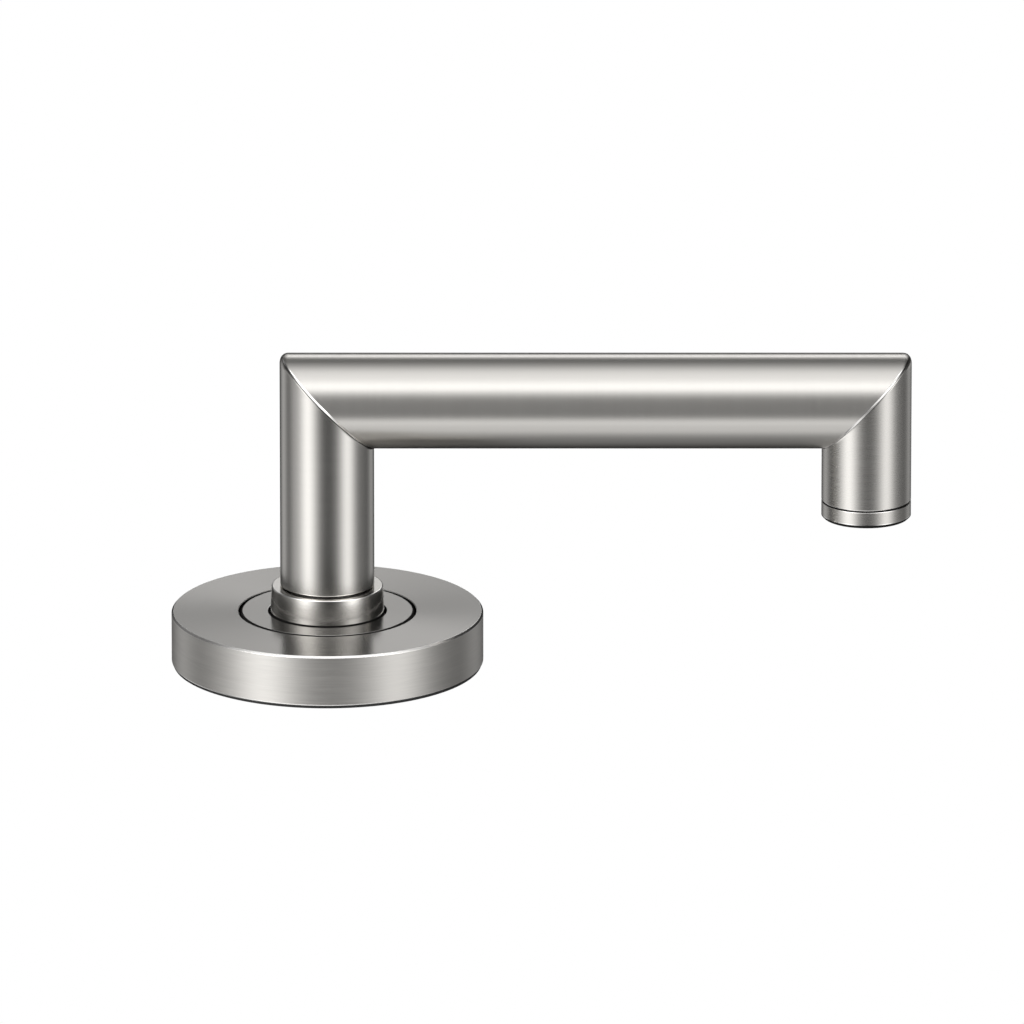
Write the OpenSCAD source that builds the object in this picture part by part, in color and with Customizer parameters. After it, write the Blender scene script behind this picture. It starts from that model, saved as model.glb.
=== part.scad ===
// Door lever handle: a mitred round-tube lever on a round rose, with its sprung cassette.
// Z = 0 is the door's face, +Z points out of the door, and +X runs along the lever.
// The Z axis is the spindle's axis. All sizes are in millimetres.

/* [Lever] */
// Outside diameter of the arm
tube_d = 19; // [18.9:0.1:20]
// Outside diameter of the neck
neck_d = 18.7; // [18.5:0.1:18.8]
// Outside diameter of the return leg
return_d = 17.8; // [17.5:0.1:18.8]
// Wall of the arm and of the return leg
tube_wall = 1.5; // [1.3:0.1:1.6]
// Height of the arm's axis above the door's face
arm_z = 54.3; // [52:0.1:65]
// Distance from the spindle's axis to the return's axis
reach = 107; // [90:1:130]
// Height of the return's free end above the door's face
return_end_z = 30.4; // [24:0.1:34]
// Radius of the lever's two outer corners
corner_r = 1.5; // [0.5:0.1:2.5]
// Height of the end cap's visible rim
cap_h = 3.6; // [3:0.1:5]
// Depth of the end cap's spigot inside the tube
spigot_h = 5; // [3:0.5:8]

/* [Rose] */
// Outside diameter of the rose
rose_d = 62; // [61:0.5:64]
// Height of the rose above the door's face
rose_h = 10.8; // [10.8:0.1:12]
// Thickness of the rose cover's sheet
cover_t = 1.2; // [0.8:0.1:1.2]
// Radius of the rose cover's front edge
cover_round = 0.6; // [0.5:0.1:1.1]
// Diameter of the opening in the rose cover
cover_hole_d = 35.8; // [35.5:0.1:37]
// Outside diameter of the face ring inside that opening
ring_d = 34.5; // [34.2:0.1:34.8]
// Diameter of the face ring's hole
ring_hole_d = 23.6; // [23.4:0.1:24]
// Height of the rubber gasket under the rose
gasket_h = 0.5; // [0.4:0.1:0.8]

/* [Collar] */
// Diameter of the collar at the rose
collar_d = 22.6; // [22:0.1:22.7]
// Diameter of the collar at its top edge
collar_top_d = 22.1; // [21.5:0.1:22.4]
// Height of the collar above the rose
collar_h = 5.3; // [4.5:0.1:6.5]
// Shadow gap between the collar and the neck
reveal = 0.3; // [0.2:0.1:0.5]

/* [Spindle and fixing] */
// Width of the hub's square socket, for an 8 mm spindle
socket_w = 8.1; // [8.05:0.05:8.3]
// Height to which the socket reaches
socket_top_z = 38; // [30:1:40]
// Distance between the two fixing bolts
bolt_spacing = 38; // [37.5:0.1:38.5]
// Diameter of the fixing bolts' holes
bolt_hole_d = 4.6; // [4.2:0.1:5]
// Diameter of the grub screw
grub_d = 6; // [5:0.5:6]
// Height of the grub screw's axis
grub_z = 25; // [22:1:28]

/* [Springs and stops] */
// How far the lever turns each way from level, in degrees
swing = 45; // [30:1:45]
// Wire diameter of the two return springs
wire_d = 0.8; // [0.6:0.1:0.9]
// Outside diameter of the springs' coils
coil_d = 3.6; // [3.2:0.1:3.6]
// Coils in each return spring
coils = 14; // [10:1:16]

/* [Hidden] */
$fn = 96;
cut = 1;                       // how far a cutting shape runs past what it cuts
fit = 0.05;                    // radial gap of a close fit
edge = 0.25;                   // small chamfer on an edge that shows

tube_r = tube_d / 2;
neck_r = neck_d / 2;
return_r = return_d / 2;
bore_r = tube_r - tube_wall;   // bore of the arm and the neck
return_bore_r = return_r - tube_wall;
cap_top_z = return_end_z + cap_h;

rose_r = rose_d / 2;
cover_in_r = rose_r - cover_t;
face_z = rose_h - cover_t;     // underside of the cover's face and of the face ring
collar_top_z = rose_h + collar_h;
neck_z = collar_top_z + reveal;

// The base plate, from the door outwards
plate_t = 2.4;
seat_z = 4.4;                  // top of the boss, the rim and the bolt bosses
rim_r = cover_in_r - 0.3;
rim_in_r = rim_r - 2.9;
boss_r = 17.2;
recess_r = 11.2;
groove_r = rim_r - 1.5;
groove_z = 1.8;
groove_h = 1.8;
bolt_boss_r = 4.4;
bolt_head_r = 4.3;             // room left round the head of each fixing bolt

// The hub and what turns with it
hub_z = 0.3;
hub_r = 7.5;
hub_flat = 6.4;                // half the distance across the hub's flats
hub_top_z = 43.5;
clip_z = 0.9;
clip_t = 1;
clip_in_r = 7;
clip_out_r = 9.7;
bush_r = 9;
bush_flange_r = 9.4;
bush_top_z = 5.2;

// The spring cassette
housing_r = 16.9;
channel_r = 13.8;
core_r = 9.3;
core_gap_r = 9.6;
cassette_floor_t = 0.25;
housing_top_z = 8.5;
lid_z = 9.2;
spring_z = (seat_z + cassette_floor_t + housing_top_z) / 2;
spring_ring_r = 11.65;
post_w = 2.8;
post_half = 8;                 // degrees from a post's middle to the spring's end
lug_w = 6;
lug_r = 13;
window_r = 13.4;
cassette_screw_r = 15.35;
cassette_screw_angles = [65, 115, 245, 295];

stainless = [0.76, 0.75, 0.73];
zinc = [0.62, 0.63, 0.64];
nylon = [0.10, 0.10, 0.11];
rubber = [0.06, 0.06, 0.06];
acetal = [0.88, 0.87, 0.83];
spring_steel = [0.45, 0.46, 0.48];

// ---- shared shapes ----

// A ring from r_in to r_out, standing on z
module ring(r_in, r_out, z, h) {
    translate([0, 0, z])
        difference() {
            cylinder(r = r_out, h = h);
            translate([0, 0, -cut]) cylinder(r = r_in, h = h + 2 * cut);
        }
}

// What a rounding of radius r takes off a corner at [0, 0] whose material lies below and to the left
module corner_round(r) {
    difference() {
        translate([-r, -r]) square(r + cut);
        translate([-r, -r]) circle(r);
    }
}

// What a chamfer of width w takes off the same corner
module corner_chamfer(w) {
    polygon([[-w, 0], [-w, cut], [cut, cut], [cut, -w], [0, -w]]);
}

// A straight round tube of the lever, standing on Z = 0
module lever_tube(r_out, r_in, length) {
    difference() {
        cylinder(r = r_out, h = length);
        translate([0, 0, -cut]) cylinder(r = r_in, h = length + 2 * cut);
    }
}

// Slope of the mitre plane between the arm and an upright tube of radius r, in degrees
function mitre(r) = atan(r / tube_r);

// Everything on one side of a mitre plane through the arm's axis at x
module mitre_side(x, turn) {
    translate([x, 0, arm_z])
        rotate([0, turn, 0])
            translate([0, -tube_d, -reach])
                cube([2 * reach, 2 * tube_d, 2 * reach]);
}

// What the rounding of an outer corner takes away; the corner lies at x, and side is -1 or 1
module outer_corner(x, side) {
    ease = 0.05;
    centre = corner_r - ease;
    translate([x - side * centre, 0, arm_z + tube_r - centre])
        rotate([90, 0, 0])
            linear_extrude(tube_d, center = true)
                scale_x(side)
                    difference() {
                        square(corner_r + cut);
                        circle(corner_r);
                    }
}

// Mirrors a flat shape for the corner on the left
module scale_x(side) {
    if (side > 0) children();
    else mirror([1, 0, 0]) children();
}

// ---- the lever ----

module lever_neck() {
    color(stainless)
        difference() {
            intersection() {
                translate([0, 0, neck_z]) lever_tube(neck_r, bore_r, arm_z + tube_d - neck_z);
                mitre_side(0, 180 - mitre(neck_r));
            }
            outer_corner(-neck_r, -1);
            grub_hole(grub_d / 2 + 0.2, tube_r + cut);
        }
}

module lever_arm() {
    color(stainless)
        difference() {
            intersection() {
                translate([-tube_d, 0, arm_z])
                    rotate([0, 90, 0])
                        lever_tube(tube_r, bore_r, reach + 2 * tube_d);
                mitre_side(0, -mitre(neck_r));
                mitre_side(reach, mitre(return_r) - 180);
            }
            outer_corner(-neck_r, -1);
            outer_corner(reach + return_r, 1);
        }
}

module lever_return() {
    color(stainless)
        difference() {
            intersection() {
                translate([reach, 0, cap_top_z])
                    lever_tube(return_r, return_bore_r, arm_z + tube_d - cap_top_z);
                mitre_side(reach, mitre(return_r));
            }
            outer_corner(reach + return_r, 1);
            translate([reach, 0, cap_top_z])
                rotate_extrude() translate([return_r, 0]) mirror([0, 1]) corner_chamfer(edge);
        }
}

module end_cap() {
    bottom_round = 0.6;
    color(stainless)
        translate([reach, 0, return_end_z])
            rotate_extrude()
                difference() {
                    union() {
                        square([return_r, cap_h]);
                        square([return_bore_r - fit, cap_h + spigot_h]);
                    }
                    translate([return_r, cap_h]) corner_chamfer(edge);
                    translate([return_r, 0]) mirror([0, 1]) corner_round(bottom_round);
                }
}

module neck_collar() {
    foot_z = face_z;
    top_edge = 0.4;
    inner = hub_r + fit;
    color(stainless)
        rotate_extrude()
            polygon([
                [inner, foot_z], [collar_d / 2, foot_z], [collar_d / 2, rose_h],
                [collar_top_d / 2, collar_top_z - top_edge],
                [collar_top_d / 2 - top_edge, collar_top_z], [inner, collar_top_z]
            ]);
}

// A radial hole through the far side of the hub, from the socket out to y_out
module grub_hole(r, y_out) {
    translate([0, 0, grub_z]) rotate([-90, 0, 0]) cylinder(r = r, h = y_out);
}

module spindle_hub() {
    color(zinc)
        difference() {
            union() {
                translate([0, 0, hub_z]) cylinder(r = hub_r, h = neck_z - hub_z);
                translate([0, 0, neck_z]) cylinder(r = bore_r - fit, h = hub_top_z - neck_z);
            }
            for (side = [-1, 1])
                translate([-tube_r, side * (hub_flat + tube_r) - tube_r, hub_z - cut])
                    cube([tube_d, tube_d, face_z - hub_z + cut]);
            ring(clip_in_r, hub_r + cut, clip_z, clip_t);
            translate([-socket_w / 2, -socket_w / 2, hub_z - cut])
                cube([socket_w, socket_w, socket_top_z - hub_z + cut]);
            grub_hole(grub_d / 2, tube_r);
        }
}

// Turns with the hub: two wings push the springs and two lugs meet the lid's stops
module spring_cam() {
    cam_z = bush_top_z + fit;
    wing_r = channel_r - 0.3;
    wing_z = spring_z + 0.1;
    wing_h = housing_top_z - 0.1 - wing_z;
    lug_z = housing_top_z + 0.1;
    color(zinc)
        difference() {
            union() {
                translate([0, 0, cam_z]) cylinder(r = core_r, h = face_z - cam_z);
                for (turn = [0, 180])
                    rotate([0, 0, turn]) {
                        translate([hub_r, -post_w / 2, wing_z]) cube([wing_r - hub_r, post_w, wing_h]);
                        translate([hub_r, -lug_w / 2, lug_z])
                            cube([lug_r - hub_r, lug_w, lid_z - lug_z - 0.05]);
                    }
            }
            intersection() {
                translate([0, 0, cam_z - cut]) cylinder(r = hub_r + fit, h = face_z + cut);
                translate([-tube_r, -hub_flat - fit, 0]) cube([tube_d, 2 * (hub_flat + fit), face_z + cut]);
            }
        }
}

module hub_washer() {
    washer_z = clip_z + clip_t;
    color(spring_steel) ring(hub_r + fit, recess_r - 0.6, washer_z, plate_t - fit - washer_z);
}

module hub_circlip() {
    lug_out = 1.25;
    opening = 28;
    lug_at = clip_out_r - lug_out / 2;
    color(spring_steel)
        difference() {
            union() {
                ring(clip_in_r, (clip_in_r + clip_out_r) / 2, clip_z, clip_t);
                for (turn = [90 - opening / 2 - 6, 90 + opening / 2 + 6])
                    rotate([0, 0, turn])
                        translate([lug_at - 0.6, 0, clip_z]) cylinder(r = lug_out, h = clip_t);
            }
            translate([0, 0, clip_z - cut])
                rotate([0, 0, 90 - opening / 2])
                    rotate_extrude(angle = opening) square([clip_out_r + cut, clip_t + 2 * cut]);
            for (turn = [90 - opening / 2 - 6, 90 + opening / 2 + 6])
                rotate([0, 0, turn])
                    translate([lug_at - 0.6, 0, clip_z - cut]) cylinder(r = 0.5, h = clip_t + 2 * cut);
            translate([0, 0, clip_z - cut]) cylinder(r = clip_in_r, h = clip_t + 2 * cut);
        }
}

// Hex-socket set screw on the side away from the front
module grub_screw() {
    tip_y = socket_w / 2 + 0.1;
    head_y = neck_r - 0.6;
    cone = 0.8;
    key = 3;
    key_depth = 2.4;
    screw_r = grub_d / 2 - fit;
    color(spring_steel)
        translate([0, 0, grub_z])
            rotate([-90, 0, 0])
                difference() {
                    union() {
                        translate([0, 0, tip_y]) cylinder(r1 = screw_r - cone, r2 = screw_r, h = cone);
                        translate([0, 0, tip_y + cone]) cylinder(r = screw_r, h = head_y - tip_y - cone);
                    }
                    translate([0, 0, head_y - key_depth])
                        cylinder(d = key / cos(30), h = key_depth + cut, $fn = 6);
                }
}

// ---- the rose ----

module rose_cover() {
    foot_round = 0.35;
    hole_r = cover_hole_d / 2;
    color(stainless)
        rotate_extrude()
            difference() {
                translate([hole_r, gasket_h]) square([rose_r - hole_r, rose_h - gasket_h]);
                translate([hole_r - cut, gasket_h - cut])
                    square([cover_in_r - hole_r + cut, face_z - gasket_h + cut]);
                translate([rose_r, rose_h]) corner_round(cover_round);
                translate([rose_r, gasket_h]) mirror([0, 1]) corner_round(foot_round);
                translate([hole_r, rose_h]) mirror([1, 0]) corner_chamfer(edge);
            }
}

module face_ring() {
    color(stainless)
        rotate_extrude()
            difference() {
                translate([ring_hole_d / 2, face_z])
                    square([(ring_d - ring_hole_d) / 2, rose_h - face_z]);
                translate([ring_d / 2, rose_h]) corner_chamfer(edge);
                translate([ring_hole_d / 2, rose_h]) mirror([1, 0]) corner_chamfer(edge);
            }
}

module backing_gasket() {
    color(rubber) ring(rim_in_r, rose_r - 0.3, 0, gasket_h);
}

module base_plate() {
    rib_w = 1.2;
    rib_top_z = 3.8;
    color(zinc)
        difference() {
            union() {
                rotate_extrude()
                    difference() {
                        union() {
                            translate([bush_r, 0]) square([boss_r - bush_r, seat_z]);
                            translate([bush_r, 0]) square([rim_in_r - bush_r + fit, plate_t]);
                            translate([rim_in_r, gasket_h]) square([rim_r - rim_in_r, seat_z - gasket_h]);
                        }
                        translate([bush_r - cut, -cut]) square([recess_r - bush_r + cut, plate_t + cut]);
                        translate([groove_r, groove_z]) square([rim_r - groove_r + cut, groove_h]);
                        translate([rim_in_r, -cut]) square([cut, gasket_h + cut]);
                    }
                for (side = [-1, 1])
                    translate([0, side * bolt_spacing / 2, 0]) cylinder(r = bolt_boss_r, h = seat_z);
                for (turn = [0 : 30 : 330])
                    if (turn % 180 != 90)
                        rotate([0, 0, turn])
                            translate([boss_r - cut, -rib_w / 2, cut])
                                cube([rim_in_r - boss_r + 2 * cut, rib_w, rib_top_z - cut]);
            }
            for (side = [-1, 1])
                translate([0, side * bolt_spacing / 2, -cut])
                    cylinder(d = bolt_hole_d, h = seat_z + 2 * cut);
            cassette_holes(0.95, plate_t - 0.4, seat_z + cut);
        }
}

// Holes for the cassette's four screws, from z_low to z_high
module cassette_holes(r, z_low, z_high) {
    for (turn = cassette_screw_angles)
        rotate([0, 0, turn]) translate([cassette_screw_r, 0, z_low]) cylinder(r = r, h = z_high - z_low);
}

module cover_grip_ring() {
    grip_r = 0.85;
    color(rubber)
        rotate_extrude() translate([cover_in_r - 0.1 - grip_r, groove_z + groove_h / 2]) circle(grip_r);
}

module bearing_bush() {
    color(acetal) {
        ring(hub_r + fit, bush_r, plate_t, seat_z - plate_t + fit);
        ring(hub_r + fit, bush_flange_r, seat_z, bush_top_z - seat_z);
    }
}

// Room for the heads of the fixing bolts
module bolt_head_room() {
    for (side = [-1, 1])
        translate([0, side * bolt_spacing / 2, seat_z - cut])
            cylinder(r = bolt_head_r, h = face_z - seat_z + 2 * cut);
}

module spring_housing() {
    color(nylon)
        difference() {
            union() {
                ring(core_gap_r, housing_r, seat_z, cassette_floor_t);
                ring(channel_r, housing_r, seat_z, housing_top_z - seat_z);
                for (turn = [0, 180])
                    rotate([0, 0, turn])
                        translate([core_gap_r + 0.15, -post_w / 2, seat_z])
                            cube([channel_r - core_gap_r, post_w, spring_z - 0.1 - seat_z]);
            }
            bolt_head_room();
            cassette_holes(1.05, seat_z - cut, housing_top_z + cut);
        }
}

// Its two windows hold the cam's lugs, and their ends are the lever's stops
module housing_lid() {
    rim_in = window_r + 0.4;
    color(nylon)
        difference() {
            rotate_extrude()
                polygon([
                    [core_gap_r, housing_top_z], [housing_r, housing_top_z], [housing_r, face_z],
                    [rim_in, face_z], [rim_in, lid_z], [core_gap_r, lid_z]
                ]);
            for (turn = [0, 180])
                translate([0, 0, housing_top_z - cut])
                    rotate([0, 0, turn])
                        linear_extrude(lid_z - housing_top_z + 2 * cut) stop_window();
            bolt_head_room();
            cassette_holes(1.05, housing_top_z - cut, face_z + cut);
            cassette_holes(1.6, face_z - 0.7, face_z + cut);
        }
}

// The area that a lug needs as it turns from one stop to the other
module stop_window() {
    play = 0.1;
    far = 3 * window_r;
    intersection() {
        circle(window_r);
        union() {
            polygon([
                [0, 0], far * [cos(swing), -sin(swing)], [far, 0], far * [cos(swing), sin(swing)]
            ]);
            for (turn = [-swing, swing])
                rotate(turn) translate([0, -lug_w / 2 - play]) square([far, lug_w + 2 * play]);
        }
    }
}

module housing_screws() {
    head_r = 1.5;
    head_h = 0.6;
    shank_r = 0.95;
    slot_w = 0.5;
    tip_z = plate_t - 0.3;
    under_z = face_z - 0.7;
    color(spring_steel)
        for (turn = cassette_screw_angles)
            rotate([0, 0, turn])
                translate([cassette_screw_r, 0, 0])
                    difference() {
                        union() {
                            translate([0, 0, tip_z]) cylinder(r = shank_r, h = under_z - tip_z + fit);
                            translate([0, 0, under_z]) cylinder(r = head_r, h = head_h);
                        }
                        for (across = [0, 90])
                            rotate([0, 0, across])
                                translate([-head_r * 0.6, -slot_w / 2, under_z + head_h / 3])
                                    cube([head_r * 1.2, slot_w, head_h]);
                    }
}

// ---- the return springs ----

// The middle of the wire at t = 0 to 1 along a spring that starts at the angle start
function coil_angle(t, start) = start + post_half + t * (180 - 2 * post_half);
function coil_out(t, start) =
    let (a = coil_angle(t, start), turn = 360 * coils * t)
    [cos(a) * cos(turn), sin(a) * cos(turn), sin(turn)];
function coil_point(t, start) =
    let (a = coil_angle(t, start))
    spring_ring_r * [cos(a), sin(a), 0] + [0, 0, spring_z]
    + (coil_d - wire_d) / 2 * coil_out(t, start);
function unit(v) = v / norm(v);

module arc_spring(start) {
    sides = 6;
    steps = coils * 10;
    dt = 0.001;
    points = [
        for (i = [0 : steps], k = [0 : sides - 1])
            let (
                t = i / steps,
                along = unit(coil_point(t + dt, start) - coil_point(t - dt, start)),
                out = coil_out(t, start),
                across = cross(along, out),
                turn = 360 * k / sides
            )
            coil_point(t, start) + wire_d / 2 * (cos(turn) * out + sin(turn) * across)
    ];
    skin = [
        for (i = [0 : steps - 1], k = [0 : sides - 1])
            let (a = i * sides + k, b = i * sides + (k + 1) % sides)
            each [[a, b, b + sides], [a, b + sides, a + sides]]
    ];
    start_face = [[for (k = [sides - 1 : -1 : 0]) k]];
    end_face = [[for (k = [0 : sides - 1]) steps * sides + k]];
    color(spring_steel) polyhedron(points, concat(skin, start_face, end_face));
}

module return_spring_upper() { arc_spring(0); }
module return_spring_lower() { arc_spring(180); }

lever_neck();
lever_arm();
lever_return();
end_cap();
neck_collar();
spindle_hub();
spring_cam();
hub_washer();
hub_circlip();
grub_screw();
rose_cover();
face_ring();
backing_gasket();
base_plate();
cover_grip_ring();
bearing_bush();
spring_housing();
housing_lid();
housing_screws();
return_spring_upper();
return_spring_lower();
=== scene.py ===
import math

import bpy
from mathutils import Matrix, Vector


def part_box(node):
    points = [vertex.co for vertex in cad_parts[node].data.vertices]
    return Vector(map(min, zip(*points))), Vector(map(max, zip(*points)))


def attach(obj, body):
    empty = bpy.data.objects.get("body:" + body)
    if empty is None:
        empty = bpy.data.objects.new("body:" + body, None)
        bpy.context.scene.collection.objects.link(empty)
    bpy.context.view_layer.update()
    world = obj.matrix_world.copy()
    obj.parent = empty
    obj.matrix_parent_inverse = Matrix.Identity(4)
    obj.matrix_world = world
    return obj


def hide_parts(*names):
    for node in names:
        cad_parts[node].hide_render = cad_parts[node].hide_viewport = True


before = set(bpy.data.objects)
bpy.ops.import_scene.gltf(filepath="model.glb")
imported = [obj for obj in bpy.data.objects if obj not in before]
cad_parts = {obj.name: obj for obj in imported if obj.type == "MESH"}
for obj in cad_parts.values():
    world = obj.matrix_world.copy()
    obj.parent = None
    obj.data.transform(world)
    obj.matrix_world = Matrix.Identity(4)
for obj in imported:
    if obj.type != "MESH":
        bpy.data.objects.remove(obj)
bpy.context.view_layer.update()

MM = 0.001
WELD = 1e-7                  # points closer than this are one point
AROUND = 192                 # columns round a tube
AROUND_ROSE = 320            # columns round the rose's pieces

# ---------------------------------------------------------------- sizes from the frame

neck_low, neck_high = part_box("lever_neck")
arm_low, arm_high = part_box("lever_arm")
return_low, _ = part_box("lever_return")
cap_low, cap_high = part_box("end_cap")
collar_low, collar_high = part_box("neck_collar")
rose_low, rose_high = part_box("rose_cover")
ring_low, ring_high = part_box("face_ring")
gasket_low, gasket_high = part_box("backing_gasket")
grip_low, grip_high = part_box("cover_grip_ring")
screw_low, screw_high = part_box("grub_screw")

TUBE_WALL = 1.5 * MM
COVER_WALL = 1.2 * MM
FIT = 0.05 * MM              # radial gap between parts that fit closely
RING_GAP = 0.45 * MM         # between the face ring and the cover
COLLAR_GAP = 0.5 * MM        # between the collar and the face ring
ARM_R = (arm_high.z - arm_low.z) / 2
NECK_R = neck_high.y
RETURN_R = cap_high.y
BORE_R = ARM_R - TUBE_WALL   # of the arm and the neck
RETURN_BORE_R = RETURN_R - TUBE_WALL
ARM_Z = (arm_high.z + arm_low.z) / 2
REACH = (cap_low.x + cap_high.x) / 2
NECK_Z = neck_low.z
SEAM_Z = return_low.z
GRUB_Z = (screw_low.z + screw_high.z) / 2
ROSE_R = rose_high.x
ROSE_Z = rose_high.z
FACE_Z = ring_low.z
RING_R = ring_high.x
COVER_HOLE_R = RING_R + RING_GAP
COVER_IN_R = ROSE_R - COVER_WALL
RING_HOLE_R = collar_high.x + COLLAR_GAP
HUB_R = 7.5 * MM


# ---------------------------------------------------------------- meshes

# The finishes of a metal piece, by their places in its list of materials
SATIN = 0                    # brushed walls
POLISHED = 1                 # rounded edges: polished, and painted lighter than the steel as highlight lines
SHADED = 2                   # painted shade: the insides of narrow gaps, and dark lines at joints and edges
FACE = 3                     # the flat top of the cover
WORN = 4                     # the edge round the cover's opening


class Shell:
    """A closed surface made of grids that share their edges, each corner with its exact normal."""

    def __init__(self):
        self.points, self.index, self.faces, self.normals, self.finishes = [], {}, [], [], []
        self.finish = SATIN

    def vertex(self, point):
        key = tuple(round(c / WELD) for c in point)
        if key not in self.index:
            self.index[key] = len(self.points)
            self.points.append(tuple(point))
        return self.index[key]

    def face(self, corners):
        kept = [c for n, c in enumerate(corners) if c[0] != corners[n - 1][0]]
        if len({c[0] for c in kept}) < 3:
            return
        spots = [Vector(self.points[c[0]]) for c in kept]
        facing = (spots[2] - spots[0]).cross(spots[-1] - spots[1])
        if facing.dot(sum((c[1] for c in kept), Vector())) < 0:
            kept.reverse()
        self.faces.append([c[0] for c in kept])
        self.finishes.append(self.finish)
        self.normals.extend(c[1].normalized() for c in kept)

    def grid(self, points, normals, wrap=True):
        """Quads between rows of points; wrap joins each row's last column to its first."""
        ids = [[self.vertex(p) for p in row] for row in points]
        columns = len(ids[0])
        for i in range(len(ids) - 1):
            for j in range(columns if wrap else columns - 1):
                k = (j + 1) % columns
                corners = ((i, j), (i, k), (i + 1, k), (i + 1, j))
                self.face([(ids[a][b], normals[a][b]) for a, b in corners])

    def piece(self, name, materials, body, slot, *nodes):
        mesh = bpy.data.meshes.new(name)
        mesh.from_pydata(self.points, [], self.faces)
        for material in materials:
            mesh.materials.append(material)
        mesh.polygons.foreach_set("material_index", self.finishes)
        mesh.polygons.foreach_set("use_smooth", [True] * len(self.faces))
        mesh.normals_split_custom_set(self.normals)
        made = bpy.data.objects.new(name, mesh)
        bpy.context.scene.collection.objects.link(made)
        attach(made, body)
        if nodes:
            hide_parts(*nodes)
        return made


def outline(corners, steps=8):
    """A closed section, anticlockwise in (radius, height), as (radius, height, normal, finish) points.

    Each corner is (radius, height, rounding, finish): a corner with no rounding stays sharp, and the
    finish is that of the wall from this corner to the next."""
    flat = [Vector(c[:2]) for c in corners]
    count = len(flat)
    found = []
    for n, (corner, given) in enumerate(zip(flat, corners)):
        rounding, finish = given[2], given[3] if len(given) > 3 else SATIN
        into = (corner - flat[n - 1]).normalized()
        out = (flat[(n + 1) % count] - corner).normalized()
        first, last = Vector((into.y, -into.x)), Vector((out.y, -out.x))
        turn = math.atan2(into.x * out.y - into.y * out.x, into.dot(out))
        side = 1 if turn > 0 else -1
        begin = corner - into * rounding * math.tan(abs(turn) / 2)
        middle = begin - side * rounding * first
        if rounding == 0:
            found += [(corner, first, finish), (corner, last, finish)]
            continue
        for step in range(steps + 1):
            angle = turn * step / steps
            normal = Vector((
                first.x * math.cos(angle) - first.y * math.sin(angle),
                first.x * math.sin(angle) + first.y * math.cos(angle),
            ))
            edge = POLISHED if step < steps else finish
            found.append((middle + side * rounding * normal, normal, edge))
    return found + found[:1]


def lathe(shell, section, x=0.0, columns=AROUND_ROSE):
    """Turns a section round the vertical axis at x."""
    turns = [2 * math.pi * k / columns for k in range(columns)]
    ways = [(math.cos(t), math.sin(t)) for t in turns]
    for (p, n, finish), (q, m, _) in zip(section, section[1:]):
        shell.finish = finish
        shell.grid(
            [[Vector((x + r.x * c, r.x * s, r.y)) for c, s in ways] for r in (p, q)],
            [[Vector((v.x * c, v.x * s, v.y)) for c, s in ways] for v in (n, m)],
        )
    return shell


def mix(a, b, t):
    return a + (b - a) * t


# ---------------------------------------------------------------- materials

def value(node, name, amount):
    node.inputs[name].default_value = amount


class Graph:
    """Short ways to add the nodes of one node tree."""

    def __init__(self, tree):
        self.tree = tree
        tree.nodes.clear()

    def add(self, kind, **settings):
        node = self.tree.nodes.new(kind)
        for key, setting in settings.items():
            setattr(node, key, setting)
        return node

    def plug(self, source, node, name):
        if isinstance(source, (int, float, tuple, Vector)):
            node.inputs[name].default_value = source
        else:
            self.tree.links.new(source, node.inputs[name])

    def math(self, operation, *sources):
        node = self.add("ShaderNodeMath", operation=operation)
        for n, source in enumerate(sources):
            self.plug(source, node, n)
        return node.outputs[0]

    def vector(self, operation, *sources):
        node = self.add("ShaderNodeVectorMath", operation=operation)
        for n, source in enumerate(sources):
            self.plug(source, node, n)
        return node.outputs["Value" if operation == "DOT_PRODUCT" else 0]

    def join(self, x, y, z):
        node = self.add("ShaderNodeCombineXYZ")
        for n, source in enumerate((x, y, z)):
            self.plug(source, node, n)
        return node.outputs[0]

    def noise(self, vector, scale, detail=2.0, roughness=0.5):
        node = self.add("ShaderNodeTexNoise")
        self.plug(vector, node, "Vector")
        value(node, "Scale", scale)
        value(node, "Detail", detail)
        value(node, "Roughness", roughness)
        return node.outputs["Fac"]

    def spread(self, source, low, high, start=0.0, end=1.0):
        """Maps start..end of a number to low..high."""
        node = self.add("ShaderNodeMapRange")
        self.plug(source, node, "Value")
        for name, amount in zip(("From Min", "From Max", "To Min", "To Max"), (start, end, low, high)):
            value(node, name, amount)
        return node.outputs[0]

    def tint(self, source, dark, light):
        """A colour between dark and light."""
        factor, first_colour, second_colour, colour_out = 0, 6, 7, 2     # the mix node's RGBA sockets
        node = self.add("ShaderNodeMix", data_type="RGBA")
        self.plug(source, node, factor)
        node.inputs[first_colour].default_value = (*dark, 1)
        node.inputs[second_colour].default_value = (*light, 1)
        return node.outputs[colour_out]


def surface(name):
    """A new material: its graph and its principled shader."""
    material = bpy.data.materials.new(name)
    material.use_nodes = True
    graph = Graph(material.node_tree)
    shader = graph.add("ShaderNodeBsdfPrincipled")
    out = graph.add("ShaderNodeOutputMaterial")
    graph.plug(shader.outputs[0], out, "Surface")
    return material, graph, shader


def relief(graph, shader, heights, depth):
    """Bump from a height field; depth is the height of its full range, in metres."""
    bump = graph.add("ShaderNodeBump")
    graph.plug(heights, bump, "Height")
    value(bump, "Strength", 1.0)
    value(bump, "Distance", depth)
    graph.plug(bump.outputs[0], shader, "Normal")


def shade(colour, amount):
    return tuple(c * amount for c in colour)


STAINLESS = (0.610, 0.594, 0.567)
LINE_PITCH = 0.26 * MM       # distance between the finer brush lines
LINE_LENGTH = 7 * MM         # and their length
NOISE_RANGE = (0.3, 0.7)     # where nearly all of a noise's values lie


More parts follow.
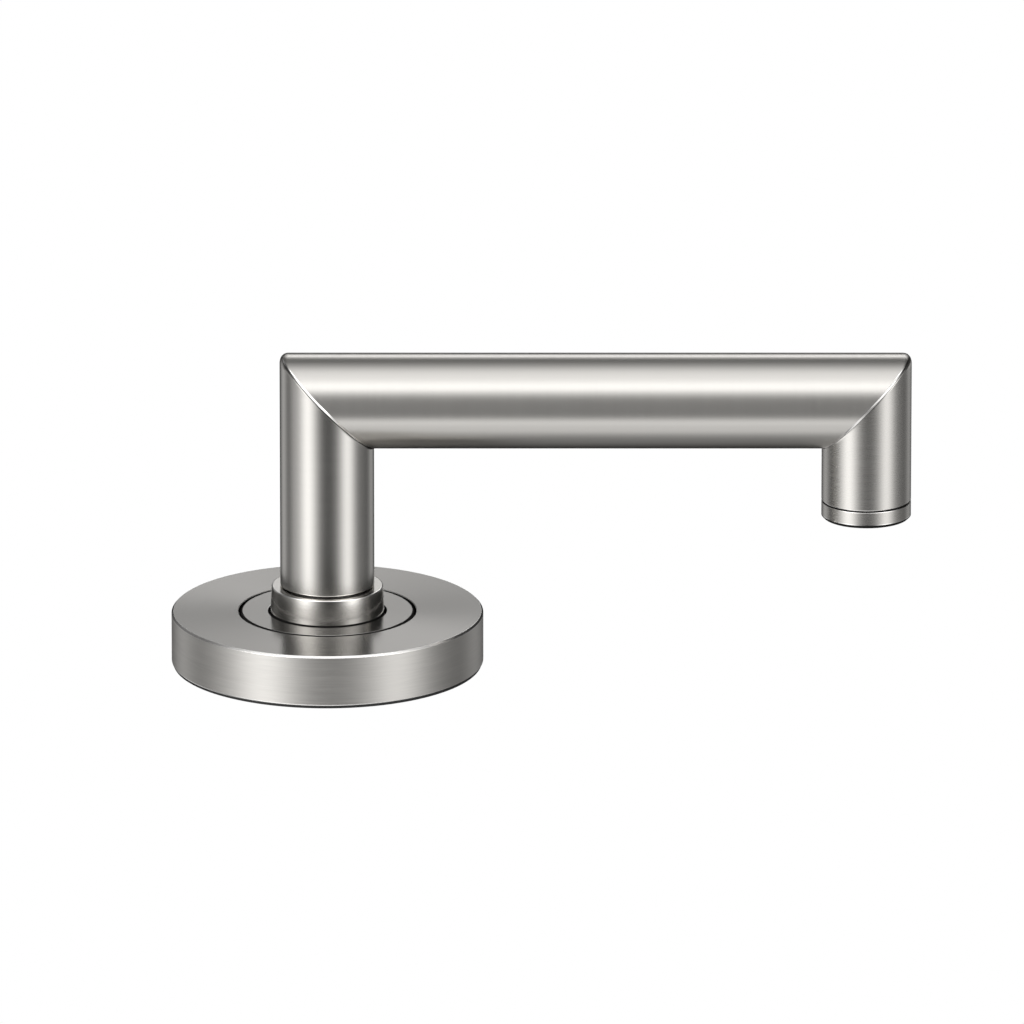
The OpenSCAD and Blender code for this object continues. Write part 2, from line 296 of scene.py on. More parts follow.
def satin(name, axis, centre, radius, roughness=0.23, contrast=0.03, depth=0.001 * MM, stretch=0.0,
          colour=STAINLESS):
    """Stainless steel brushed round an axis, with fine lines that run round it.

    axis is "X" or "Z", centre a point on it, radius the size of the piece it is for, contrast the
    spread of its colour, depth that of the lines, and stretch how far its highlights are drawn out
    across the lines."""
    material, graph, shader = surface(name)
    place = graph.vector("SUBTRACT", graph.add("ShaderNodeTexCoord").outputs["Object"], centre)
    split = graph.add("ShaderNodeSeparateXYZ")
    graph.plug(place, split, 0)
    along, first, second = {"Z": (2, 0, 1), "X": (0, 1, 2)}[axis]
    along, first, second = (split.outputs[n] for n in (along, first, second))
    from_axis = graph.math("SQRT", graph.math(
        "ADD", graph.math("MULTIPLY", first, first), graph.math("MULTIPLY", second, second)
    ))
    from_axis = graph.math("MAXIMUM", from_axis, 0.2 * MM)      # never zero, for the divisions below
    across = graph.math("ADD", along, from_axis)
    turn_1 = graph.math("DIVIDE", first, from_axis)
    turn_2 = graph.math("DIVIDE", second, from_axis)

    def lines(pitch, length, seed):
        """Streaks with a pitch across them and a length round the axis; seed sets them apart."""
        reach = radius / length
        return graph.noise(graph.join(
            graph.math("MULTIPLY_ADD", across, 1 / pitch, seed),
            graph.math("MULTIPLY", turn_1, reach),
            graph.math("MULTIPLY", turn_2, reach),
        ), scale=1.0, detail=3.0, roughness=0.6)

    fine = lines(LINE_PITCH, LINE_LENGTH, 0.0)
    wide = lines(2.6 * LINE_PITCH, 2 * LINE_LENGTH, 40.0)
    cloud = graph.noise(place, scale=55.0)
    grain = graph.math("MULTIPLY_ADD", fine, 0.6, graph.math("MULTIPLY", wide, 0.4))
    both = graph.math("MULTIPLY_ADD", cloud, 0.35, graph.math("MULTIPLY", grain, 0.65))
    graph.plug(graph.tint(
        graph.spread(both, 0.0, 1.0, *NOISE_RANGE), shade(colour, 1 - contrast), shade(colour, 1 + contrast)
    ), shader, "Base Color")
    value(shader, "Metallic", 1.0)
    patchy = graph.spread(grain, roughness * 0.95, roughness * 1.05, *NOISE_RANGE)
    graph.plug(patchy, shader, "Roughness")
    value(shader, "Anisotropic", stretch)
    value(shader, "Anisotropic Rotation", 0.25)     # a quarter turn: drawn out across the lines
    tangent = graph.add("ShaderNodeTangent", direction_type="RADIAL", axis=axis)
    graph.plug(tangent.outputs[0], shader, "Tangent")
    relief(graph, shader, fine, depth)
    return material


def edge_polish_and_highlight(name, lowest, highest):
    """The polished edges of the stainless pieces, with a roughness between lowest and highest, and a colour
    lighter than the rest of the steel: real polish with a painted brightening of their highlights.
    """
    material, graph, shader = surface(name)
    place = graph.add("ShaderNodeTexCoord").outputs["Object"]
    marks = graph.noise(place, scale=700.0, detail=3.0)
    # a colour lighter than the steel: painted highlight
    graph.plug(graph.tint(marks, (0.90, 0.88, 0.86), (0.97, 0.96, 0.94)), shader, "Base Color")
    value(shader, "Metallic", 1.0)
    graph.plug(graph.spread(marks, lowest, highest), shader, "Roughness")
    return material


def worn_edge():
    """The thin edge round the cover's opening, dulled by fine scratches."""
    material, graph, shader = surface("worn_edge")
    place = graph.add("ShaderNodeTexCoord").outputs["Object"]
    marks = graph.noise(place, scale=1200.0, detail=3.0)
    graph.plug(graph.tint(marks, (0.60, 0.59, 0.58), (0.68, 0.67, 0.66)), shader, "Base Color")
    value(shader, "Metallic", 1.0)
    graph.plug(graph.spread(marks, 0.55, 0.68), shader, "Roughness")
    return material


def painted_shade_wall():
    """Painted shade: near-black, dull metal for the insides of the narrow gaps and for dark lines at joints
    and edges.
    """
    material, graph, shader = surface("painted_shade_wall")
    place = graph.add("ShaderNodeTexCoord").outputs["Object"]
    marks = graph.noise(place, scale=900.0, detail=3.0)
    # a near-black colour: painted shade
    graph.plug(graph.tint(marks, (0.004, 0.004, 0.004), (0.012, 0.011, 0.010)), shader, "Base Color")
    graph.plug(graph.spread(marks, 0.55, 0.75), shader, "Roughness")
    value(shader, "Specular IOR Level", 0.15)
    return material


def cast_zinc(name, colour):
    """A tumbled die-casting, slightly grainy."""
    material, graph, shader = surface(name)
    place = graph.add("ShaderNodeTexCoord").outputs["Object"]
    grain = graph.noise(place, scale=2600.0, detail=3.0, roughness=0.6)
    flow = graph.noise(place, scale=130.0, detail=3.0)
    graph.plug(graph.tint(flow, shade(colour, 0.82), shade(colour, 1.12)), shader, "Base Color")
    value(shader, "Metallic", 1.0)
    graph.plug(graph.spread(flow, 0.36, 0.52), shader, "Roughness")
    relief(graph, shader, grain, 0.03 * MM)
    return material


def bright_steel(name, colour, roughness):
    """Drawn, stamped or plated steel, with faint marks."""
    material, graph, shader = surface(name)
    place = graph.add("ShaderNodeTexCoord").outputs["Object"]
    marks = graph.noise(place, scale=900.0, detail=4.0, roughness=0.65)
    graph.plug(graph.tint(marks, shade(colour, 0.8), shade(colour, 1.15)), shader, "Base Color")
    value(shader, "Metallic", 1.0)
    graph.plug(graph.spread(marks, roughness - 0.06, roughness + 0.1), shader, "Roughness")
    relief(graph, shader, marks, 0.006 * MM)
    return material


def moulded(name, colour, roughness, grain_size, depth):
    """Moulded rubber or plastic, with a fine grain of this size and depth."""
    material, graph, shader = surface(name)
    place = graph.add("ShaderNodeTexCoord").outputs["Object"]
    grain = graph.noise(place, scale=1 / grain_size, detail=3.0, roughness=0.55)
    cloud = graph.noise(place, scale=160.0)
    graph.plug(graph.tint(cloud, shade(colour, 0.85), shade(colour, 1.15)), shader, "Base Color")
    graph.plug(graph.spread(grain, roughness - 0.08, roughness + 0.08), shader, "Roughness")
    relief(graph, shader, grain, depth)
    return material


# ---------------------------------------------------------------- the lever's mitred tubes

EDGE = 0.2 * MM              # rounding of the edges at the seam and the neck's foot
MITRE_EDGE = 0.62 * MM       # how far the joint's edges reach along each tube
MITRE_CORNER = 1.8 * MM      # the same at the two outer corners
MITRE_INNER = 0.12 * MM      # the same at the two inner corners
MITRE_DEPTH = 0.18 * MM      # depth of the fine line where two tubes meet
ARM_BEVEL = 0.50 * MM        # width of the arm's polished edge along that line
UPRIGHT_BEVEL = 0.13 * MM    # width of the upright tube's edge along it, which takes the painted-shade finish: a painted shadow line
columns = [2 * math.pi * k / AROUND for k in range(AROUND)]


class Upright:
    """The neck or the return leg, and its mitred joint with the arm.

    x is where its axis stands, and outward the way that leads off the arm's end there: -1 or 1."""

    def __init__(self, x, outward, radius, bore):
        self.x, self.outward, self.radius, self.bore = x, outward, radius, bore

    def place(self, out, y, z):
        """A point, from its distance towards the arm's middle, its depth and its height."""
        return Vector((self.x - self.outward * out, y, z))

    def at(self, radius, turn, z):
        return self.place(radius * math.cos(turn), radius * math.sin(turn), z)

    def out(self, turn, sign=1):
        return Vector((-self.outward * math.cos(turn), math.sin(turn), 0)) * sign

    def ring(self, radius, z):
        return [self.at(radius, turn, z) for turn in columns]

    def reach(self, turn):
        """How far the joint's rounding reaches along the tubes at this place round them."""
        outer = max(0.0, -math.cos(turn)) ** 8      # 1 at the outer corner, and soon 0 beside it
        inner = max(0.0, math.cos(turn)) ** 6       # the same for the inner corner
        return MITRE_EDGE + (MITRE_CORNER - MITRE_EDGE) * outer + (MITRE_INNER - MITRE_EDGE) * inner

    def bevel_start(self, width, turn):
        """Where a bevel of this width ends, as a fraction of the rounding beyond its middle."""
        share = abs(math.sin(turn)) ** 0.6 * width / self.reach(turn)
        return min(1.0, math.sqrt(0.25 + share)) - 0.5

    def edge(self, on_arm, t, turn):
        """A point of the joint's edge: t = 0 lies on the upright, t = 1 on the arm, and 0.5 between."""
        reach = self.reach(turn)
        depth = (ARM_R if on_arm else self.radius) * math.sin(turn)
        corner = self.place(self.radius * math.cos(turn), depth, ARM_Z - ARM_R * math.cos(turn))
        low, side = corner - Vector((0, 0, reach)), corner - Vector((self.outward * reach, 0, 0))
        spot = low * (1 - t) ** 2 + corner * (2 * t * (1 - t)) + side * t ** 2
        width = self.bevel_start(ARM_BEVEL if on_arm else UPRIGHT_BEVEL, turn)
        sunk = max(0.0, 1 - abs(t - 0.5) / max(width, 1e-6))
        sunk *= MITRE_DEPTH * abs(math.sin(turn)) ** 0.6
        away = self.place(math.cos(turn), 2 * math.sin(turn), -math.cos(turn)) - self.place(0, 0, 0)
        return spot - away.normalized() * sunk

    def edge_normal(self, on_arm, t, t_start, t_end, turn):
        step = 1e-3
        low, high = max(t_start, t - step), min(t_end, t + step)
        if high - low < 1e-5:
            low, high = t - step, t + step
        along = self.edge(on_arm, high, turn) - self.edge(on_arm, low, turn)
        around = self.edge(on_arm, t, turn + step) - self.edge(on_arm, t, turn - step)
        normal = along.cross(around).normalized()
        lying = Vector((0, math.sin(turn), -math.cos(turn)))
        return normal if normal.dot(self.out(turn) + lying) > 0 else -normal

    def edge_rows(self, shell, on_arm, steps=5):
        """The joint's edge on one of the two tubes: its rounding, then its bevel."""
        side = 1 if on_arm else -1
        widths = [self.bevel_start(ARM_BEVEL if on_arm else UPRIGHT_BEVEL, turn) for turn in columns]
        parts = (
            (SATIN, [(0.5 + side * w, 0.5 + side * 0.5) for w in widths]),
            # the upright's side of the joint takes the painted-shade finish, a painted shadow line beside
            # the arm's polished edge
            (POLISHED if on_arm else SHADED, [(0.5, 0.5 + side * w) for w in widths]),
        )
        for finish, spans in parts:
            points, normals = [], []
            for n in range(steps + 1):
                places = [(mix(a, b, n / steps), min(a, b), max(a, b)) for a, b in spans]
                points.append([self.edge(on_arm, p[0], turn) for p, turn in zip(places, columns)])
                normals.append([
                    self.edge_normal(on_arm, *p, turn) for p, turn in zip(places, columns)
                ])
            shell.finish = finish
            shell.grid(points, normals)
        shell.finish = SATIN

    def bore_edge(self, on_arm, turn):
        """The end of the bore, in the mitre plane."""
        slope = ARM_R / self.radius
        if on_arm:
            down = BORE_R * math.cos(turn)
            return self.place(down / slope, BORE_R * math.sin(turn), ARM_Z - down)
        out = self.bore * math.cos(turn)
        return self.place(out, self.bore * math.sin(turn), ARM_Z - out * slope)

    def joint_face(self, shell, on_arm):
        """The flat ring in the mitre plane, from the edge in to the bore."""
        facing = Vector((-self.outward * ARM_R, 0, self.radius)) * (-1 if on_arm else 1)
        rim = [self.edge(on_arm, 0.5, turn) for turn in columns]
        bore = [self.bore_edge(on_arm, turn) for turn in columns]
        shell.grid([rim, bore], [[facing] * AROUND] * 2)

    def foot(self, shell, z):
        """The rounded lower edge of the tube and the flat ring inside it."""
        steps = 6
        points, normals = [], []
        for n in range(steps + 1):
            angle = math.pi / 2 * n / steps
            points.append(self.ring(
                self.radius - EDGE + EDGE * math.sin(angle), z + EDGE - EDGE * math.cos(angle)
            ))
            normals.append([
                self.out(turn, math.sin(angle)) - Vector((0, 0, math.cos(angle))) for turn in columns
            ])
        down = [Vector((0, 0, -1))] * AROUND
        shell.grid([self.ring(self.bore, z), points[0]], [down, down])
        shell.finish = POLISHED
        shell.grid(points, normals)
        shell.finish = SATIN

    def wall(self, shell, radius, sign, heights, ends, window=None, rows=12):
        """The tube's wall: level rings at heights, then rings that lean over to the mitre.

        A window is left open: its first and last ring, then its first and last column."""
        lines = [self.ring(radius, z) for z in heights]
        lines += [
            [mix(a, b, n / rows) for a, b in zip(lines[-1], ends)] for n in range(1, rows + 1)
        ]
        facing = [self.out(turn, sign) for turn in columns]
        if window is None:
            shell.grid(lines, [facing] * len(lines))
            return
        first_row, last_row, first_column, last_column = window
        shell.grid(lines[:first_row + 1], [facing] * (first_row + 1))
        shell.grid(lines[last_row:], [facing] * (len(lines) - last_row))
        beside = [k % AROUND for k in range(last_column, first_column + AROUND + 1)]
        middle = [[line[k] for k in beside] for line in lines[first_row:last_row + 1]]
        shell.grid(middle, [[facing[k] for k in beside]] * len(middle), wrap=False)

    def drilled(self, shell, radius, sign, heights, first_column, last_column, hole_r, rings=6):
        """Fills a window in the back wall with a wall that has a round hole; returns the hole's rim."""
        edge = [(k, heights[0]) for k in range(first_column, last_column)]
        edge += [(last_column, z) for z in heights[:-1]]
        edge += [(k, heights[-1]) for k in range(last_column, first_column, -1)]
        edge += [(first_column, z) for z in heights[:0:-1]]
        points = [[] for _ in range(rings + 1)]
        normals = [[] for _ in range(rings + 1)]
        for column, z in edge:
            turn = columns[column]
            way = math.atan2(z - GRUB_Z, self.radius * (math.pi / 2 - turn))
            rim_turn = math.acos(hole_r * math.cos(way) / radius)
            rim_z = GRUB_Z + hole_r * math.sin(way)
            for n in range(rings + 1):
                t = n / rings
                spot_turn = turn if n == 0 else mix(turn, rim_turn, t)
                points[n].append(self.at(radius, spot_turn, mix(z, rim_z, t)))
                normals[n].append(self.out(spot_turn, sign))
        shell.grid(points, normals)
        return points[-1]


NECK = Upright(0.0, -1, NECK_R, BORE_R)
RETURN = Upright(REACH, 1, RETURN_R, RETURN_BORE_R)


def make_neck(materials):
    shell = Shell()
    hole_r, bevel = 3.2 * MM, 0.2 * MM      # of the hole for the grub screw
    half = 14                               # columns on each side of the hole's middle, in its window
    middle = AROUND // 4                    # the column at the back
    pitch = 2 * math.pi * NECK_R / AROUND
    low = GRUB_Z - half * pitch
    foot = NECK_Z + EDGE
    rows_below = 6
    below = [mix(foot, low, n / rows_below) for n in range(rows_below)]
    level = [low + n * pitch for n in range(2 * half + 1)]
    window = (rows_below, rows_below + 2 * half, middle - half, middle + half)
    NECK.foot(shell, NECK_Z)
    NECK.wall(shell, NECK_R, 1, below + level, [NECK.edge(False, 0, t) for t in columns], window)
    NECK.edge_rows(shell, False)
    NECK.joint_face(shell, False)
    inner = [NECK_Z + (z - foot) * (low - NECK_Z) / (low - foot) for z in below] + level
    NECK.wall(shell, BORE_R, -1, inner, [NECK.bore_edge(False, t) for t in columns], window)
    rim = NECK.drilled(shell, NECK_R, 1, level, window[2], window[3], hole_r + bevel)
    inner_rim = NECK.drilled(shell, BORE_R, -1, level, window[2], window[3], hole_r)
    ways = [Vector((spot.x, 0, spot.z - GRUB_Z)).normalized() for spot in rim]
    bevel_end = [
        way * hole_r
        + Vector((0, math.sqrt(NECK_R ** 2 - (way.x * hole_r) ** 2) - bevel, GRUB_Z))
        for way in ways
    ]
    sloped = [(Vector((0, 1, 0)) - way).normalized() for way in ways]
    shell.finish = POLISHED
    shell.grid([rim, bevel_end], [sloped] * 2)
    shell.finish = SATIN
    shell.grid([bevel_end, inner_rim], [[-way for way in ways]] * 2)
    return shell.piece("lever_neck_shell", materials, "lever", "satin_stainless", "lever_neck")


def make_arm(materials):
    shell = Shell()
    rows = 40
    facing = [Vector((0, math.sin(turn), -math.cos(turn))) for turn in columns]
    for sign in (1, -1):
        ends = [
            [tube.edge(True, 1, t) if sign > 0 else tube.bore_edge(True, t) for t in columns]
            for tube in (NECK, RETURN)
        ]
        lines = [[mix(a, b, n / rows) for a, b in zip(*ends)] for n in range(rows + 1)]
        shell.grid(lines, [[f * sign for f in facing]] * len(lines))
    for tube in (NECK, RETURN):
        tube.edge_rows(shell, True)
        tube.joint_face(shell, True)
    return shell.piece("lever_arm_shell", materials, "lever", "satin_stainless", "lever_arm")


def make_return(materials):
    shell = Shell()
    heights = [SEAM_Z + EDGE, mix(SEAM_Z, ARM_Z - ARM_R, 0.5)]
    RETURN.foot(shell, SEAM_Z)
    RETURN.wall(shell, RETURN_R, 1, heights, [RETURN.edge(False, 0, t) for t in columns])
    RETURN.edge_rows(shell, False)
    RETURN.joint_face(shell, False)
    ends = [RETURN.bore_edge(False, t) for t in columns]
    RETURN.wall(shell, RETURN_BORE_R, -1, [SEAM_Z, heights[1]], ends)
    return shell.piece("lever_return_shell", materials, "lever", "satin_stainless", "lever_return")


def make_end_cap(materials):
    inner = RETURN_BORE_R - FIT
    seam_depth, seam_width = 0.35 * MM, 0.3 * MM
    step_r, step_z = RETURN_R - seam_depth, SEAM_Z - seam_width
    chamfer, painted_shade_top, polished_top = 0.42 * MM, 0.64 * MM, 0.78 * MM
    # The chamfer and the band above it at the bottom, and the walls of the seam's step, take the
    # painted-shade finish: painted shadow lines.
    section = outline([
        (0, cap_low.z, 0),
        (RETURN_R - chamfer, cap_low.z, 0.04 * MM, SHADED),
        (RETURN_R, cap_low.z + chamfer, 0, SHADED),
        (RETURN_R, cap_low.z + painted_shade_top, 0, POLISHED),
        (RETURN_R, cap_low.z + polished_top, 0),
        (RETURN_R, step_z, 0.12 * MM, SHADED),
        (step_r, step_z, 0, SHADED),
        (step_r, SEAM_Z, 0),
        (inner, SEAM_Z, 0),
        (inner, cap_high.z, 0.4 * MM),
        (0, cap_high.z, 0),
    ])
    shell = lathe(Shell(), section[:-1], REACH, AROUND)
    return shell.piece("end_cap_turned", materials, "lever", "satin_stainless", "end_cap")


def make_collar(materials):
    taper, painted_shade_foot = 0.25 * MM, 0.22 * MM
    foot_r, top_r = collar_high.x, collar_high.x - taper
    inner = HUB_R + FIT
    # The foot's wall, up to a little above the rose's top, takes the painted-shade finish: a painted shadow
    # line round the collar's foot.
    section = outline([
        (inner, collar_low.z, 0),
        (foot_r, collar_low.z, 0.15 * MM, SHADED),
        (foot_r, ROSE_Z + painted_shade_foot, 0),
        (top_r, collar_high.z, 0.24 * MM),
        (inner, collar_high.z, 0),
    ])
    shell = lathe(Shell(), section)
    return shell.piece("neck_collar_turned", materials, "lever", "satin_stainless", "neck_collar")


# ---------------------------------------------------------------- the rose

GAP_EDGE = 0.14 * MM         # width and height of the worn edge round the cover's opening
RING_EDGE = 0.38 * MM        # width and height of the ring's broken outer edge, most of it painted dark as shade in the gap
RING_SHINE = 0.04 * MM       # how much of it is brushed like the face
RIM_EDGE = 0.36 * MM         # width and height of the cover's polished rim


def make_cover(materials):
    section = outline([
        (COVER_IN_R, rose_low.z, 0.1 * MM),
        (ROSE_R, rose_low.z, 0.35 * MM),
        (ROSE_R, ROSE_Z - RIM_EDGE, 0.1 * MM, POLISHED),
        (ROSE_R - RIM_EDGE, ROSE_Z, 0.1 * MM, FACE),
        (COVER_HOLE_R + GAP_EDGE, ROSE_Z, 0, WORN),
        # the wall of the opening takes the painted-shade finish: painted shade in the gap round the face
        # ring
        (COVER_HOLE_R, ROSE_Z - GAP_EDGE, 0, SHADED),
        (COVER_HOLE_R, FACE_Z, 0.1 * MM),
        (COVER_IN_R, FACE_Z, 0.6 * MM),
    ], 10)
    shell = lathe(Shell(), section)
    return shell.piece("rose_cover_pressed", materials, "cover", "satin_stainless", "rose_cover")


def make_ring(materials):
    section = outline([
        (RING_HOLE_R, FACE_Z, 0.1 * MM),
        # the outer wall, its broken edge and the wall of the hole take the painted-shade finish: painted
        # shade in the gaps
        (RING_R, FACE_Z, 0.1 * MM, SHADED),
        (RING_R, ROSE_Z - RING_EDGE, 0, SHADED),
        (RING_R - RING_EDGE + RING_SHINE, ROSE_Z - RING_SHINE, 0),
        (RING_R - RING_EDGE, ROSE_Z, 0.02 * MM),
        (RING_HOLE_R, ROSE_Z, 0.1 * MM, SHADED),
    ])
    shell = lathe(Shell(), section)
    return shell.piece("face_ring_turned", materials, "rose", "satin_stainless", "face_ring")


def make_gasket(rubber):
    width = 4.1 * MM
    inner = gasket_high.x - width
    section = outline([
        (inner, gasket_low.z, 0),
        (gasket_high.x, gasket_low.z, 0.12 * MM),
        (gasket_high.x, gasket_high.z, 0.12 * MM),
        (inner, gasket_high.z, 0),
    ], 4)
    shell = lathe(Shell(), section)
    return shell.piece("backing_gasket_ring", [rubber] * 3, "rose", "black_rubber", "backing_gasket")


def make_grip_ring(rubber):
    grip_r = (grip_high.z - grip_low.z) / 2
    middle_r, middle_z = grip_high.x - grip_r, (grip_high.z + grip_low.z) / 2
    turns = [2 * math.pi * n / 24 for n in range(25)]
    section = [
        (Vector((middle_r + grip_r * math.cos(t), middle_z + grip_r * math.sin(t))),
         Vector((math.cos(t), math.sin(t))), SATIN)
        for t in turns
    ]
    section[-1] = section[0]
    shell = lathe(Shell(), section)
    return shell.piece("cover_grip_o_ring", [rubber], "rose", "black_rubber", "cover_grip_ring")


def make_spring(name, node, start, material):
    """An arc-shaped compression spring whose coils fill its half of the channel."""
    low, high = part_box(node)
    coil_r = (high.z - low.z) / 2
    wire_r, coils, ring_r = 0.4 * MM, 14, 11.65 * MM
    half_gap = math.radians(8)      # from the middle of the post to each end
    middle_z = (high.z + low.z) / 2
    steps, sides = coils * 24, 12
    nudge = 1e-4

    def way(t):
        """The direction from the axis to the coil's middle line, a fraction t along the spring."""
        a = start + half_gap + t * (math.pi - 2 * half_gap)
        return Vector((math.cos(a), math.sin(a), 0))

    def out(t):
        """The direction from the coil's middle line to the wire."""
        turn = 2 * math.pi * coils * t
        return way(t) * math.cos(turn) + Vector((0, 0, math.sin(turn)))

    def wire(t):
        return way(t) * ring_r + Vector((0, 0, middle_z)) + (coil_r - wire_r) * out(t)

    shell = Shell()
    points, normals = [], []
    for n in range(steps + 1):
        t = n / steps
        along = (wire(t + nudge) - wire(t - nudge)).normalized()
        side = along.cross(out(t))
        ring = [
            out(t) * math.cos(2 * math.pi * k / sides) + side * math.sin(2 * math.pi * k / sides)
            for k in range(sides)
        ]
        points.append([wire(t) + wire_r * outward for outward in ring])
        normals.append(ring)
    shell.grid(points, normals)
    for end, inside in ((0, 1), (-1, -2)):
        middle = sum(points[end], Vector()) / sides
        facing = middle - sum(points[inside], Vector()) / sides
        shell.grid([points[end], [middle] * sides], [[facing] * sides] * 2)
    return shell.piece(name, [material], "rose", "spring_steel", node)


# ---------------------------------------------------------------- the object

ROSE_AXIS = Vector((0, 0, 0))
RETURN_AXIS = Vector((REACH, 0, 0))
ARM_AXIS = Vector((0, 0, ARM_Z))
polished = edge_polish_and_highlight("polished_edge_and_highlight", 0.10, 0.16)
rim = edge_polish_and_highlight("polished_rim_and_highlight", 0.24, 0.27)
worn = worn_edge()
shaded = painted_shade_wall()
# The cover's top and the face ring are darker copies of the same steel as the cover's side and the lever:
# painted shade.
on_top = satin(
    "satin_face", "Z", ROSE_AXIS, ROSE_R, roughness=0.24, depth=0.0002 * MM, stretch=0.8,
    colour=shade(STAINLESS, 0.57),
)
on_ring = satin(
    "satin_ring", "Z", ROSE_AXIS, ROSE_R, roughness=0.19, depth=0.0002 * MM, stretch=0.3,
    colour=shade(STAINLESS, 0.58),
)
on_side = satin("satin_cover", "Z", ROSE_AXIS, ROSE_R, roughness=0.35, contrast=0.10, depth=0.0014 * MM)
# The collar is a lighter copy of the same steel as the neck: painted light.
on_collar = satin("satin_collar", "Z", ROSE_AXIS, 11 * MM, roughness=0.18, colour=shade(STAINLESS, 1.2))
on_arm = satin("satin_arm", "X", ARM_AXIS, ARM_R, roughness=0.335, contrast=0.012, stretch=0.6)
on_neck = satin("satin_neck", "Z", ROSE_AXIS, NECK_R)
make_neck([on_neck, polished, shaded])
make_arm([on_arm, polished, shaded])
on_return = satin("satin_return", "Z", RETURN_AXIS, RETURN_R, roughness=0.275)
make_return([on_return, polished, shaded])
on_cap = satin("satin_cap", "Z", RETURN_AXIS, RETURN_R, roughness=0.275)
make_end_cap([on_cap, polished, shaded])
make_collar([on_collar, polished, shaded])
make_cover([on_side, rim, shaded, on_top, worn])
make_ring([on_ring, polished, shaded])

rubber = moulded("rubber", (0.012, 0.012, 0.012), 0.62, 0.25 * MM, 0.01 * MM)
nylon = moulded("nylon", (0.022, 0.022, 0.024), 0.48, 0.18 * MM, 0.008 * MM)
acetal = moulded("acetal", (0.74, 0.72, 0.66), 0.34, 0.3 * MM, 0.004 * MM)
zinc = cast_zinc("zinc_casting", (0.62, 0.62, 0.62))
spring_wire = bright_steel("spring_wire", (0.46, 0.46, 0.47), 0.26)
stamped = bright_steel("stamped_steel", (0.42, 0.42, 0.42), 0.36)
blackened = bright_steel("black_oxide", (0.05, 0.05, 0.055), 0.42)
plated = bright_steel("zinc_plate", (0.62, 0.63, 0.60), 0.28)

make_gasket(rubber)
make_grip_ring(rubber)
make_spring("return_spring_upper_coil", "return_spring_upper", 0.0, spring_wire)
make_spring("return_spring_lower_coil", "return_spring_lower", math.pi, spring_wire)

CARRIED_OVER = {
    "base_plate": zinc, "spindle_hub": zinc, "spring_cam": zinc,
    "bearing_bush": acetal, "spring_housing": nylon, "housing_lid": nylon,
    "hub_washer": stamped, "hub_circlip": stamped, "grub_screw": blackened, "housing_screws": plated,
}
for node, material in CARRIED_OVER.items():
    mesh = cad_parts[node].data
    mesh.materials.clear()
    mesh.materials.append(material)


# ---------------------------------------------------------------- studio

def direction(azimuth, elevation):
    """A unit vector; azimuth 0 is towards the front (-Y) and 90 to the right (+X)."""
    a, e = math.radians(azimuth), math.radians(elevation)
    return Vector((math.sin(a) * math.cos(e), -math.cos(a) * math.cos(e), math.sin(e)))


# Soft boxes all round the studio: azimuth and elevation, half width and half height, and strength
SOFT_BOXES = {
    "high_left": (-49, 45, 21, 11.5, 5.30),
    "high_right": (50, 47, 21, 11.5, 5.30),
    "overhead": (0, 84, 20, 28, 1.45),
    "left": (-46, 0, 21, 36, 2.00),
    "right": (54, -1, 20, 21, 2.00),
    "low_left": (-20, -39, 75, 8.8, 1.08),
    "low_right": (20, -60, 47, 14.5, 0.87),
    "behind": (176, 27, 12, 8, 2.65),
    "back_left": (-132, -38, 17, 45, 0.70),
    "back_right": (138, -12, 17, 8, 0.63),
}
AMBIENT = 0.006


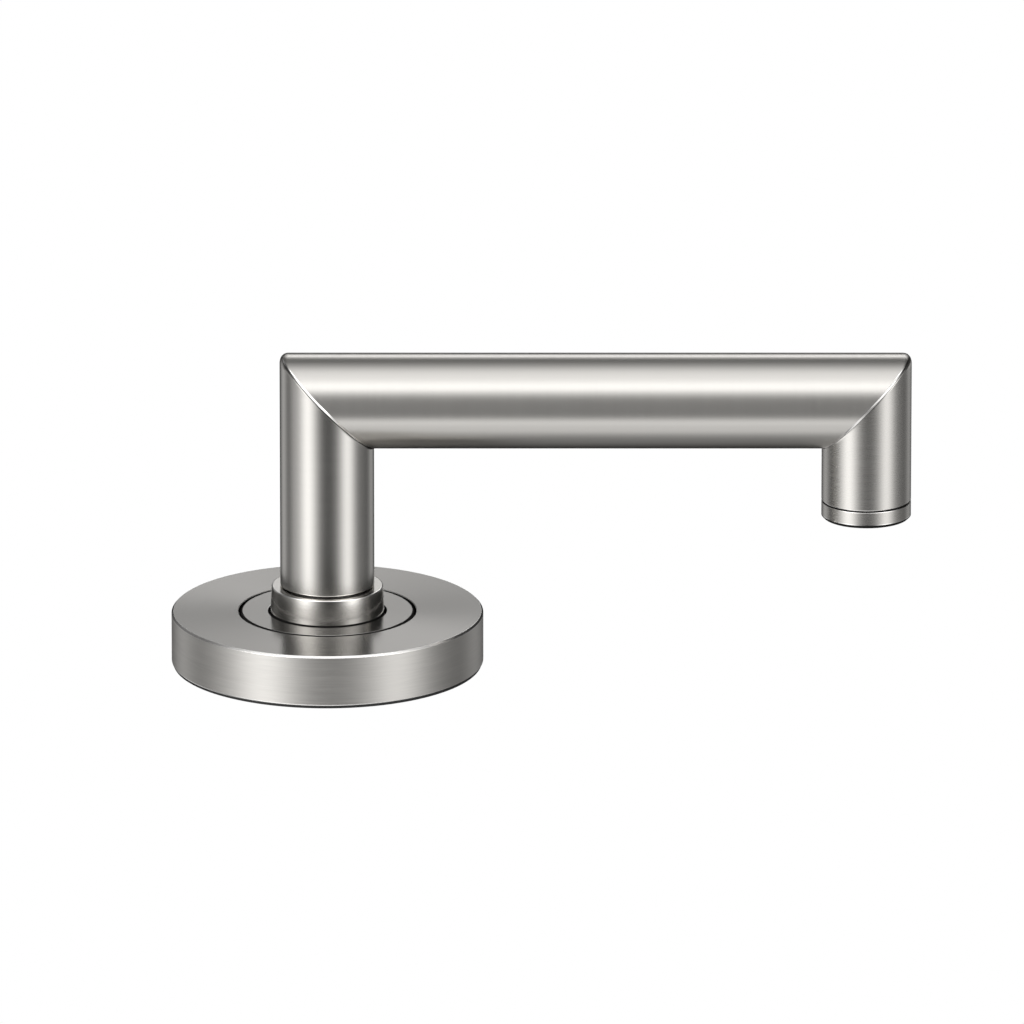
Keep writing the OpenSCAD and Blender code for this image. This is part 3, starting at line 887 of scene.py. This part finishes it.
def studio_light():
    """The world: soft boxes for light and reflections, and plain white for the camera."""
    world = bpy.data.worlds.new("studio")
    bpy.context.scene.world = world
    world.use_nodes = True
    graph = Graph(world.node_tree)
    way = graph.add("ShaderNodeTexCoord").outputs["Generated"]
    total = AMBIENT
    for azimuth, elevation, half_width, half_height, strength in SOFT_BOXES.values():
        towards = direction(azimuth, elevation)
        right = direction(azimuth + 90, 0) / math.sin(math.radians(half_width))
        up = direction(azimuth, elevation + 90) / math.sin(math.radians(half_height))
        a = graph.vector("DOT_PRODUCT", way, right)
        b = graph.vector("DOT_PRODUCT", way, up)
        square = graph.math("MULTIPLY_ADD", a, a, graph.math("MULTIPLY", b, b))
        falloff = graph.math("EXPONENT", graph.math("MULTIPLY", square, -1.0))
        facing = graph.math("GREATER_THAN", graph.vector("DOT_PRODUCT", way, towards), 0.0)
        glow = graph.math("MULTIPLY", falloff, facing)
        total = graph.math("MULTIPLY_ADD", glow, strength, total)
    studio, backdrop = graph.add("ShaderNodeBackground"), graph.add("ShaderNodeBackground")
    graph.plug(total, studio, "Strength")
    value(studio, "Color", (1, 1, 1, 1))
    value(backdrop, "Color", (1, 1, 1, 1))
    chosen = graph.add("ShaderNodeMixShader")
    graph.plug(graph.add("ShaderNodeLightPath").outputs["Is Camera Ray"], chosen, 0)
    graph.plug(studio.outputs[0], chosen, 1)
    graph.plug(backdrop.outputs[0], chosen, 2)
    graph.plug(chosen.outputs[0], graph.add("ShaderNodeOutputWorld"), "Surface")


def studio_floor():
    """A plain glowing white floor, which only the camera sees, and only from above."""
    half = 3.0
    mesh = bpy.data.meshes.new("floor")
    corners = [(-half, -half, 0), (half, -half, 0), (half, half, 0), (-half, half, 0)]
    mesh.from_pydata(corners, [], [(0, 1, 2, 3)])
    floor = bpy.data.objects.new("floor", mesh)
    bpy.context.scene.collection.objects.link(floor)
    material = bpy.data.materials.new("floor_white")
    material.use_nodes = True
    graph = Graph(material.node_tree)
    glow = graph.add("ShaderNodeEmission")
    value(glow, "Color", (1, 1, 1, 1))
    clear = graph.add("ShaderNodeBsdfTransparent")
    sides = graph.add("ShaderNodeMixShader")
    graph.plug(graph.add("ShaderNodeNewGeometry").outputs["Backfacing"], sides, 0)
    graph.plug(glow.outputs[0], sides, 1)
    graph.plug(clear.outputs[0], sides, 2)
    graph.plug(sides.outputs[0], graph.add("ShaderNodeOutputMaterial"), "Surface")
    mesh.materials.append(material)
    floor.visible_glossy = floor.visible_diffuse = floor.visible_shadow = False


def studio_camera():
    """A very long lens, 17 degrees above the level of the door, square to the lever."""
    lens, distance, elevation = 703.0, 3.97, 17.06
    target = Vector((0.0367, 0, 0.0312))
    camera = bpy.data.cameras.new("camera")
    camera.lens = lens
    camera.sensor_width = 36.0
    camera.clip_start, camera.clip_end = 0.1, 50.0
    holder = bpy.data.objects.new("camera", camera)
    bpy.context.scene.collection.objects.link(holder)
    back = direction(0, elevation)
    holder.location = target + back * distance
    holder.rotation_euler = (-back).to_track_quat("-Z", "Y").to_euler()
    bpy.context.scene.camera = holder


studio_light()
studio_floor()
studio_camera()
bpy.context.scene.view_settings.view_transform = "Standard"
